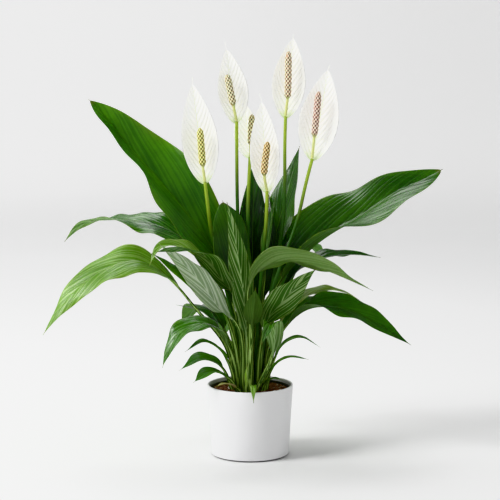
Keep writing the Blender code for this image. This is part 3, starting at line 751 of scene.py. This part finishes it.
# flowers
# stem: its centre from the soil to its top. tip: the spathe's point. width: the spathe's, at its
# widest. face: heading its hollow side looks to. hood: how deep it cups. hair: how far its drawn
# out point turns along X, and how long it is. spadix: where the knobbly part begins and ends.
stemShape = dict(radius=2.9, narrowing=0.15, ribs=5, ribHeight=0.035, stations=90, around=20)
spatheShape = dict(
    rootHalfWidth=1.5, rootHalfThickness=0.7, sheetHalfThickness=0.35, gap=0.3, belly=0.82,
    taper=0.8, ribHeight=0.8, ribReach=1.6, veinGap=11.0, veinPuff=2.8, fold=0.9, foldReach=3.0,
    waveHeight=0.02, stations=150, across=41)
spadixShape = dict(
    radius=4.9, stalkRadius=2.0, gap=0.9, knobsAround=6, knobPitch=6.2, knobHeight=1.5, groove=0.9,
    domeEnd=0.22, stationGap=0.42, around=88)
flowers = dict(
    left=dict(
        stem=((-9, -2, plantFoot), (-24, -5, 200), (-48, -7, 300), (-57, -10, 336),
              (-66, -28, 414)),
        tip=(-84, -20, 556), width=54, face=275, hood=12, hair=(2.0, 12.0),
        spadix=((-69, -33, 440), (-73, -34, 494)), spadixColor=(0.62, 0.58, 0.14)),
    upper_left=dict(
        stem=((-4, 8, plantFoot), (-13, 18, 230), (-19, 33, 374), (-20, 20, 500)),
        tip=(-35, 28, 606), width=47, face=285, hood=11, hair=(-1.0, 13.0),
        spadix=((-25, 15, 526), (-34, 15, 570)), spadixColor=(0.66, 0.58, 0.32)),
    middle=dict(
        stem=((-3, 15, plantFoot), (-3, 22, 260), (-3, 28, 380), (0, 36, 446)),
        tip=(-9, 46, 526), width=42, face=262, hood=10, hair=(-2.0, 8.0),
        spadix=((1, 33, 466), (3, 33, 510)), spadixColor=(0.66, 0.56, 0.26)),
    front=dict(
        stem=((7, 0, plantFoot), (15, -6, 250), (24, -8, 358), (25, -12, 399)),
        tip=(17, -8, 530), width=45, face=270, hood=11, hair=(-3.0, 14.0),
        spadix=((21, -18, 425), (26, -19, 473)), spadixColor=(0.58, 0.40, 0.14)),
    tallest=dict(
        stem=((5, 8, plantFoot), (29, 14, 230), (50, 24, 358), (52, 30, 460), (53, 30, 507)),
        tip=(64, 38, 622), width=51, face=268, hood=12, hair=(0.5, 7.0),
        spadix=((56, 25, 536), (57, 24, 604)), spadixColor=(0.70, 0.50, 0.32)),
    right=dict(
        stem=((11, -6, plantFoot), (20, -10, 180), (33, -10, 250), (70, -3, 355), (88, 0, 434),
              (92, 0, 446)),
        tip=(115, 8, 576), width=60, face=262, hood=13, hair=(2.0, 8.0),
        spadix=((95, -6, 482), (101, -7, 546)), spadixColor=(0.66, 0.42, 0.32)))


# spathe skin: soft white with faint green in its veins, its midrib and towards the stem, the veins
# also darkened to grey as painted shade in their dips; a low emission of the same colour stands for
# the light that comes through the thin sheet
def makeSpatheFinish():
    finish, tree, shader = newFinish("spatheSkin", {
        "Subsurface Weight": 0.12, "Subsurface Scale": 0.004, "Subsurface Radius": (1.0, 1.0, 0.7),
        "IOR": 1.4, "Emission Strength": 0.20})
    marks = addMarks(tree, 0.35, 0.06)
    coords = objectCoords(tree)
    cloud = speckle(tree, coords, 45.0, 3.0)
    color = blendColor(tree, cloud, (0.93, 0.93, 0.89), (0.97, 0.97, 0.95))
    # the veins' grey-green: partly their own faint green, partly painted shade in the dips between the
    # puffs
    color = paint(tree, color, (0.56, 0.58, 0.46), marks["Vein"], 0.7)
    color = paint(tree, color, (0.62, 0.74, 0.40), marks["Midrib"], 0.45)
    color = paint(tree, color, (0.55, 0.70, 0.28), remap(tree, marks["Along"], 0.13, 0.0), 0.6)
    feed(tree, shader.inputs["Emission Color"], color)
    height = calc(tree, "ADD", speckle(tree, coords, 700.0), times(tree, marks["Fine Vein"], 0.8))
    dress(tree, shader, color, scaled(tree, cloud, 0.2, 0.38), height, 0.0001)
    return finish


# stem skin: yellow-green under the flower, darker towards the soil, streaked all along
def makeStemFinish():
    finish, tree, shader = newFinish("flowerStemSkin", {
        "Subsurface Weight": 0.1, "Subsurface Scale": 0.003})
    upTheStem = splitAxes(tree, field(tree, "place", "Vector"))[0]
    streak = speckle(tree, streakCoords(tree, objectCoords(tree)), 1100.0)
    color = blendColor(tree, remap(tree, upTheStem, 0.70, 0.97), (0.026, 0.100, 0.008),
                       (0.40, 0.55, 0.06))
    color = paint(tree, color, (0.03, 0.11, 0.01), streak, 0.4)
    dress(tree, shader, color, scaled(tree, streak, 0.2, 0.3), streak, 0.0002)
    return finish


# spadix skin: pale tops on the knobs as painted highlight, deeper colour between them as painted
# shade, a smooth pale green stalk
def makeSpadixFinish(name, tone):
    finish, tree, shader = newFinish(name, {"Subsurface Weight": 0.15, "Subsurface Scale": 0.002})
    knob = field(tree, "knob")
    mottle = speckle(tree, objectCoords(tree), 400.0)
    deep = tuple(0.16 * value for value in tone)
    pale = tuple(min(1.0, 1.35 * value + 0.32) for value in tone)
    # painted shade in the hollows between the knobs, then painted highlight on their tops
    color = blendColor(tree, remap(tree, knob, 0.26, 0.50), deep, tone)
    color = blendColor(tree, remap(tree, knob, 0.52, 0.80), color, pale)
    color = paint(tree, color, deep, mottle, 0.25)
    color = blendColor(tree, field(tree, "stalk"), color, (0.62, 0.66, 0.26))
    dress(tree, shader, color, 0.62, mottle, 0.0002)
    return finish


spatheSkin = makeSpatheFinish()
stemSkin = makeStemFinish()


# a round tube along a spine, with a radius for every point: the ring's angle turns from the X
# axis laid square to the spine
def tubeRings(spine, radius):
    tangent = unit(np.gradient(spine, axis=0))
    side = unit(np.array([1.0, 0.0, 0.0]) - tangent[:, :1] * tangent)
    other = np.cross(tangent, side)
    angle = ringAngles(radius.shape[1])
    return (spine[:, None] + (radius * np.cos(angle))[..., None] * side[:, None]
            + (radius * np.sin(angle))[..., None] * other[:, None])


# stem: a tapering tube with shallow ribs, its radius times 1 - narrowing*s and
# 1 + ribHeight*cos(ribs*angle)
def buildStem(name, stem):
    shape = stemShape
    s = np.linspace(0, 1, shape["stations"])
    spine = splineThrough(smoothPath(stem, 9), s)
    spine = np.concatenate([[spine[0] - (0, 0, leafShape["buried"])], spine])
    s = np.concatenate([[0.0], s])
    angle = ringAngles(shape["around"])
    ribbed = 1 + shape["ribHeight"] * np.cos(shape["ribs"] * angle)
    radius = shape["radius"] * (1 - shape["narrowing"] * s)[:, None] * ribbed[None, :]
    place = np.stack(np.broadcast_arrays(s[:, None], angle[None, :], 0.0), -1).reshape(-1, 3)
    fields = dict(place=np.concatenate([place, [[0, 0, 0], [1, 0, 0]]]))
    rings = tubeRings(spine, radius)
    piece = loftPiece("flowerStem_" + name, rings, spine[0], spine[-1], fields, stemSkin)
    settle(piece, "flower_stem_" + name)


# spathe: a sheet whose half-width follows bladeShare, cupped by hood * across^2, dipping at each
# vein, folded a little at its midrib and drawn out into a fine hair
def buildSpathe(name, stem, tip, width, face, hood, hair):
    shape = spatheShape
    looks = levelAt(face)
    root = np.array(stem[-1], float) - looks * (
        stemShape["radius"] + shape["rootHalfThickness"] + shape["gap"])
    tip = np.array(tip, float)
    middle = (root + tip) / 2 - looks * hood * 0.35
    t = np.linspace(0, 1, shape["stations"])
    spine = splineThrough(smoothPath([root - (0, 0, 3.0), middle, tip], 11), t)
    drawn = np.linspace(0, 1, 9)[1:, None]
    turn, length = hair
    ahead = unit(spine[-1] - spine[-4])
    spine = np.concatenate([
        spine, spine[-1] + drawn * length * ahead + drawn**2 * np.array([turn, 0.0, 0.0])])
    t = np.concatenate([t, 1 + 0.001 * drawn[:, 0]])
    held = np.clip(t, 0, 1)
    share = bladeShare(t, shape["belly"], shape["taper"])
    share[shape["stations"] - 1:] = 0.0
    rootHalf = shape["rootHalfWidth"]
    halfWidth = rootHalf * (1 - 0.75 * held) + (width / 2 - rootHalf) * share
    tangent = unit(np.gradient(spine, axis=0))
    side = unit(np.cross(np.broadcast_to(looks, spine.shape), tangent))
    upper = np.cross(tangent, side)[:, None]
    a = np.linspace(-1, 1, shape["across"])
    a = a * (0.6 + 0.4 * np.abs(a))
    edge = np.abs(a)[None, :]
    along = (t * np.linalg.norm(tip - root))[:, None]
    phases = np.random.default_rng(len(name) * 7 + width).uniform(0, 2 * math.pi, 2)
    veins = (along - edge * halfWidth[:, None] * (0.9 + 1.1 * edge)) / shape["veinGap"]
    veins = veins + 0.5 * (a[None, :] > 0)
    dip = 0.5 - 0.5 * np.cos(2 * math.pi * veins)
    fade = np.minimum(share, 0.8)[:, None]
    puff = shape["veinPuff"] * fade * ease(edge, 0.04, 0.25) * ease(edge, 1.0, 0.85) * (dip - 0.5)
    swings = np.sin(along / 9.0 + phases[0]), np.sin(along / 8.0 + phases[1])
    swing = np.where(a[None, :] > 0, *swings)
    wave = shape["waveHeight"] * width * fade * edge**3 * swing
    fold = shape["fold"] * fade * (1 - ribBell(edge, halfWidth, shape["foldReach"]))
    lift = (hood * share)[:, None] * edge**2 + puff + wave + fold
    thin = 1 - edge**6
    sheet = shape["sheetHalfThickness"] * (1 - 0.4 * held)[:, None] * thin
    rib = shape["ribHeight"] * (1 - 0.9 * held)[:, None] * thin
    rib = rib * ribBell(edge, halfWidth, shape["ribReach"])
    flat = spine[:, None] + (a[None, :] * halfWidth[:, None])[..., None] * side[:, None]
    rings = closeSheet(flat + (lift + sheet)[..., None] * upper,
                       flat + (lift - sheet - rib)[..., None] * upper)
    fields = dict(place=placeField(held, a, veins, [[0, 0, 0], [1, 0, 0]]))
    piece = loftPiece("spatheSkin_" + name, rings, spine[0], spine[-1], fields, spatheSkin)
    settle(piece, "spathe_" + name)


# spadix: a smooth stalk, then knobs whose height is a power of
# 0.5 + 0.5*cos(n*angle)*cos(2*pi*z/pitch), which staggers their rows, with a domed end
def buildSpadix(name, stem, spadix, spadixColor):
    shape = spadixShape
    start, end = (np.array(point, float) for point in spadix)
    foot = np.array(stem[-1], float) + np.array([0.0, 0.0, shape["gap"]])
    coarse = smoothPath([foot, start, end], 11)
    length = np.linalg.norm(np.diff(coarse, axis=0), axis=1).sum()
    s = np.linspace(0, 1, int(length / shape["stationGap"]))
    spine = splineThrough(coarse, s)
    along = np.linalg.norm(spine - foot, axis=1) / np.linalg.norm(start - foot)
    knobby = ease(along, 0.85, 1.12)
    left = np.linalg.norm(spine - end, axis=1) / np.linalg.norm(end - start)
    rise = 1 - np.clip(left / shape["domeEnd"], 0, 1)
    dome = np.sqrt(np.clip(1 - rise**2, 0.02, 1))[:, None]
    swirl = shape["knobsAround"] * ringAngles(shape["around"])[None, :] + 0.4 * s[:, None]
    rows = 2 * math.pi * (s * length)[:, None] / shape["knobPitch"]
    knob = (0.5 + 0.5 * np.cos(swirl) * np.cos(rows)) * knobby[:, None]
    slim = shape["stalkRadius"]
    core = slim + (shape["radius"] - shape["groove"] - slim) * knobby[:, None]
    rings = tubeRings(spine, (core + shape["knobHeight"] * knob**0.65 * knobby[:, None]) * dome)
    stalk = np.repeat(1 - knobby, shape["around"])
    fields = dict(knob=np.concatenate([knob.ravel(), [0, 0.8]]),
                  stalk=np.concatenate([stalk, [1, 0]]))
    skin = makeSpadixFinish("spadixSkin_" + name, spadixColor)
    piece = loftPiece("spadixKnobs_" + name, rings, spine[0], spine[-1], fields, skin)
    settle(piece, "spadix_" + name)


def buildFlower(name, stem, tip, width, face, hood, hair, spadix, spadixColor):
    buildStem(name, stem)
    buildSpathe(name, stem, tip, width, face, hood, hair)
    buildSpadix(name, stem, spadix, spadixColor)


for flowerName, flowerPlan in flowers.items():
    buildFlower(flowerName, **flowerPlan)
print("flowers grown:", len(flowers))


# pots and soil, turned about the pot's axis
potShape = dict(
    height=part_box("pot")[1].z / mm, rimRadius=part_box("pot")[1].x / mm, baseRadius=58.5, wall=3.5,
    floor=5.0, footInset=2.5, footHeight=2.0, around=160)
nurseryShape = dict(
    bottom=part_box("nursery_pot")[0].z / mm, rim=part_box("nursery_pot")[1].z / mm, gap=1.2, wall=1.4,
    heel=8.0, around=160)
soilShape = dict(
    bottom=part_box("soil")[0].z / mm, gap=1.7, belowRim=3.4, crown=1.2, crownReach=30.0, heel=8.0,
    crumbs=900, crumbSpread=57, crumbRadius=(1.3, 3.4), crumbHeight=0.55, around=200)


# the pot's outer wall: its radius grows evenly from the foot to the rim
def potRadius(height):
    slope = (potShape["rimRadius"] - potShape["baseRadius"]) / (
        potShape["height"] - potShape["footHeight"])
    return potShape["baseRadius"] + (height - potShape["footHeight"]) * slope


# a body turned about Z: the profile's (radius, height) points carried round, the first and last
# on the axis
def turnPiece(name, profile, around, finish):
    first, last = ((0.0, 0.0, profile[k][1]) for k in (0, -1))
    return loftPiece(name, turnedRings(profile[1:-1], around), first, last, {}, finish)


# corner points of a profile, each replaced by a short arc: the two tangent points and the points
# of a quadratic curve between them. A corner is (radius, height, reach of the arc)
def roundProfile(corners, steps=6):
    corners = np.array(corners, float)
    points, reach = corners[:, :2], corners[1:-1, 2:]
    here = points[1:-1]
    back = here + unit(points[:-2] - here) * reach
    ahead = here + unit(points[2:] - here) * reach
    u = np.linspace(0, 1, steps)[None, :, None]
    arcs = (1 - u) ** 2 * back[:, None] + 2 * u * (1 - u) * here[:, None] + u**2 * ahead[:, None]
    return np.concatenate([points[:1], arcs.reshape(-1, 2), points[-1:]])


# satin glaze: off-white with broad faint clouds, a few specks, a dark line of painted shade under its
# foot where it meets the floor and a fine orange-peel bump
def makePotFinish():
    finish, tree, shader = newFinish("potGlaze", {
        "Coat Weight": 0.15, "Coat Roughness": 0.25, "IOR": 1.5})
    coords = objectCoords(tree)
    clouds = speckle(tree, coords, 18.0, 4.0)
    color = blendColor(tree, clouds, (0.72, 0.72, 0.73), (0.77, 0.77, 0.775))
    specks = remap(tree, speckle(tree, coords, 900.0, 1.0), 0.74, 0.80)
    color = paint(tree, color, (0.55, 0.53, 0.50), specks, 0.25)
    # painted shade: near-black on the foot ring below 2.6 mm, where shade falls under the pot's body
    footShade = remap(tree, splitAxes(tree, coords)[2], 0.0026, 0.0019)
    color = paint(tree, color, (0.05, 0.05, 0.05), footShade, 0.9)
    peel = speckle(tree, coords, 350.0, 3.0)
    dress(tree, shader, color, scaled(tree, clouds, 0.15, 0.36), peel, 0.00006)
    return finish


# nursery pot: near-black plastic with grey scuffs, rougher where it is scuffed
def makeNurseryFinish():
    finish, tree, shader = newFinish("nurseryPlastic", {"IOR": 1.5})
    scuff = speckle(tree, objectCoords(tree), 120.0, 4.0)
    color = blendColor(tree, remap(tree, scuff, 0.4, 0.75), (0.030, 0.031, 0.030),
                       (0.075, 0.073, 0.068))
    dress(tree, shader, color, scaled(tree, scuff, 0.3, 0.4), scuff, 0.0002)
    return finish


# soil skin: red-brown crumbs, some paler bark and a few light grains
def makeSoilFinish():
    finish, tree, shader = newFinish("soilCrumbs", {})
    tone = field(tree, "tone")
    crumbs = speckle(tree, objectCoords(tree), 330.0, 5.0, 0.7)
    color = blendColor(tree, remap(tree, crumbs, 0.35, 0.7), (0.045, 0.014, 0.010),
                       (0.210, 0.080, 0.055))
    color = blendColor(tree, remap(tree, tone, 0.45, 0.75), color, (0.32, 0.17, 0.12))
    color = blendColor(tree, remap(tree, tone, 0.90, 0.96), color, (0.65, 0.58, 0.50))
    dress(tree, shader, color, 0.92, crumbs, 0.0012)
    return finish


# pot: outside up the wall, over the rim, down the inside to the floor
def buildPot():
    shape = potShape
    top, base, foot = shape["height"], shape["floor"], shape["footHeight"]
    footRadius = shape["baseRadius"] - shape["footInset"]

    def inner(height):
        return potRadius(height) - shape["wall"]

    profile = roundProfile((
        (0, 0, 0), (footRadius, 0, 0.4), (footRadius, foot, 0.5), (potRadius(foot), foot, 0.9),
        (potRadius(40), 40, 1.0), (potRadius(75), 75, 1.0), (potRadius(top), top, 1.5),
        (inner(top), top, 1.5), (inner(60), 60, 1.0), (inner(base), base, 4.0), (0, base, 0)))
    settle(turnPiece("potBody", profile, shape["around"], makePotFinish()), "pot")


# the nursery pot's outer wall, standing clear inside the pot's wall
def shellRadius(height):
    return potRadius(height) - potShape["wall"] - nurseryShape["gap"]


# nursery pot: a thin shell with a cut-off heel at its bottom corner
def buildNurseryPot():
    shape = nurseryShape
    low, rim, wall, heel = shape["bottom"], shape["rim"], shape["wall"], shape["heel"]
    above = low + heel
    profile = roundProfile((
        (0, low, 0), (shellRadius(low) - heel, low, 1.0), (shellRadius(above), above, 2.0),
        (shellRadius(rim), rim, 0.5), (shellRadius(rim) - wall, rim, 0.5),
        (shellRadius(above) - wall, above, 1.5), (shellRadius(low) - heel - wall, low + wall, 1.0),
        (0, low + wall, 0)))
    nursery = turnPiece("nurseryPotBody", profile, shape["around"], makeNurseryFinish())
    settle(nursery, "nursery_pot")


# soil: the CAD solid's outline with a low crown. Crumbs are domes on the surface, each the upper
# part of a ball round its own spot, and the highest dome counts; ripples stand for finer grains.
def buildSoil():
    shape = soilShape
    low, heel = shape["bottom"], shape["heel"]
    level = nurseryShape["rim"] - shape["belowRim"]

    def filled(height):
        return shellRadius(height) - shape["gap"]

    wall = roundProfile((
        (0, low, 0), (filled(low) - heel - 0.3, low, 0.5), (filled(low + heel), low + heel, 1.0),
        (filled(level), level - 1.5, 0)))
    radii = np.linspace(filled(level) - 0.2, 1.0, 56)
    crown = level + shape["crown"] * ease(radii, filled(level), shape["crownReach"])
    surface = np.stack([radii, crown - 0.6], -1)
    rings = turnedRings(np.concatenate([wall[1:-1], surface]), shape["around"])
    rng = np.random.default_rng(41)
    count, spread = shape["crumbs"], shape["crumbSpread"]
    spots = np.stack([rng.uniform(-spread, spread, count), rng.uniform(-spread, spread, count)], -1)
    sizes = rng.uniform(*shape["crumbRadius"], count)
    top = rings[len(wall) - 2:]
    across = top[..., :2]
    distance = np.linalg.norm(across.reshape(-1, 1, 2) - spots[None], axis=-1)
    domes = np.sqrt(np.clip(1 - (distance / sizes) ** 2, 0, 1)) * sizes * shape["crumbHeight"]
    highest = domes.max(-1).reshape(top.shape[:2])
    lumps = highest + 0.5 * ripple(across, 5.0, 5) + 0.25 * ripple(across, 2.2, 6)
    inside = ease(np.linalg.norm(across, axis=-1), filled(level), filled(level) - 2.0)
    tones = np.zeros(rings.shape[:2])
    crumbTones = rng.random(count)[domes.argmax(-1)].reshape(top.shape[:2])
    tones[len(wall) - 2:] = crumbTones * (highest > 0.2)
    top[..., 2] += (lumps - 0.5) * inside
    fields = dict(tone=np.concatenate([tones.ravel(), [0, 0]]))
    poles = (0, 0, low), (0, 0, rings[-1, :, 2].mean())
    settle(loftPiece("soilSurface", rings, *poles, fields, makeSoilFinish()), "soil")


buildPot()
buildNurseryPot()
buildSoil()
print("pots and soil made")


# studio floor: flat under the plant, then swept up all round as a quarter of an ellipse. It glows
# more towards its wall, standing in for lamps on the wall, and less on the wall's +X side, painted
# shade on that side
def buildFloor():
    finish, tree, shader = newFinish("paleSweep", {
        "Roughness": 0.85, "Specular IOR Level": 0.2, "Emission Strength": 1.0})
    coords = objectCoords(tree)
    darker = tuple(0.99 * value for value in studio["floorColor"])
    tint = blendColor(tree, speckle(tree, coords, 0.6, 1.0), studio["floorColor"], darker)
    feed(tree, shader.inputs["Base Color"], tint)
    reach = addNode(tree, "ShaderNodeVectorMath", operation="LENGTH")
    feed(tree, reach.inputs[0], coords)
    glow = remap(tree, reach.outputs["Value"], 0.8, 5.0, 0.0, studio["wallGlow"])
    # painted shade: the glow is dimmed towards the +X side
    dim = remap(tree, splitAxes(tree, coords)[0], -1.6, 1.6, 0.0, studio["wallShadeRight"])
    glow = times(tree, glow, calc(tree, "SUBTRACT", 1.0, dim))
    feed(tree, shader.inputs["Emission Color"],
         blendColor(tree, glow, (0.0, 0.0, 0.0), (1.0, 1.0, 1.0)))
    u = np.linspace(0, math.pi / 2, 40)
    flat = np.linspace(0.05, studio["floorRadius"], 24)[:-1]
    swept = studio["floorRadius"] + (studio["wallRadius"] - studio["floorRadius"]) * np.sin(u)
    heights = np.concatenate([0 * flat, studio["wallHeight"] * (1 - np.cos(u))])
    profile = np.stack([np.concatenate([flat, swept]), heights], -1)
    rings = turnedRings(profile, studio["floorSides"])
    count, around = rings.shape[:2]
    faces = ringQuads(count, around)[:, ::-1].tolist() + fan(count * around, 0, around).tolist()
    mesh = bpy.data.meshes.new("paleSweep")
    mesh.from_pydata(rings.reshape(-1, 3).tolist() + [(0, 0, 0)], [], faces)
    mesh.materials.append(finish)
    mesh.shade_smooth()
    floor = bpy.data.objects.new("paleSweep", mesh)
    bpy.context.scene.collection.objects.link(floor)


buildFloor()
print("floor laid")

print("largest box gaps in mm:", sorted(boxGaps.items(), key=lambda item: -item[1])[:6])
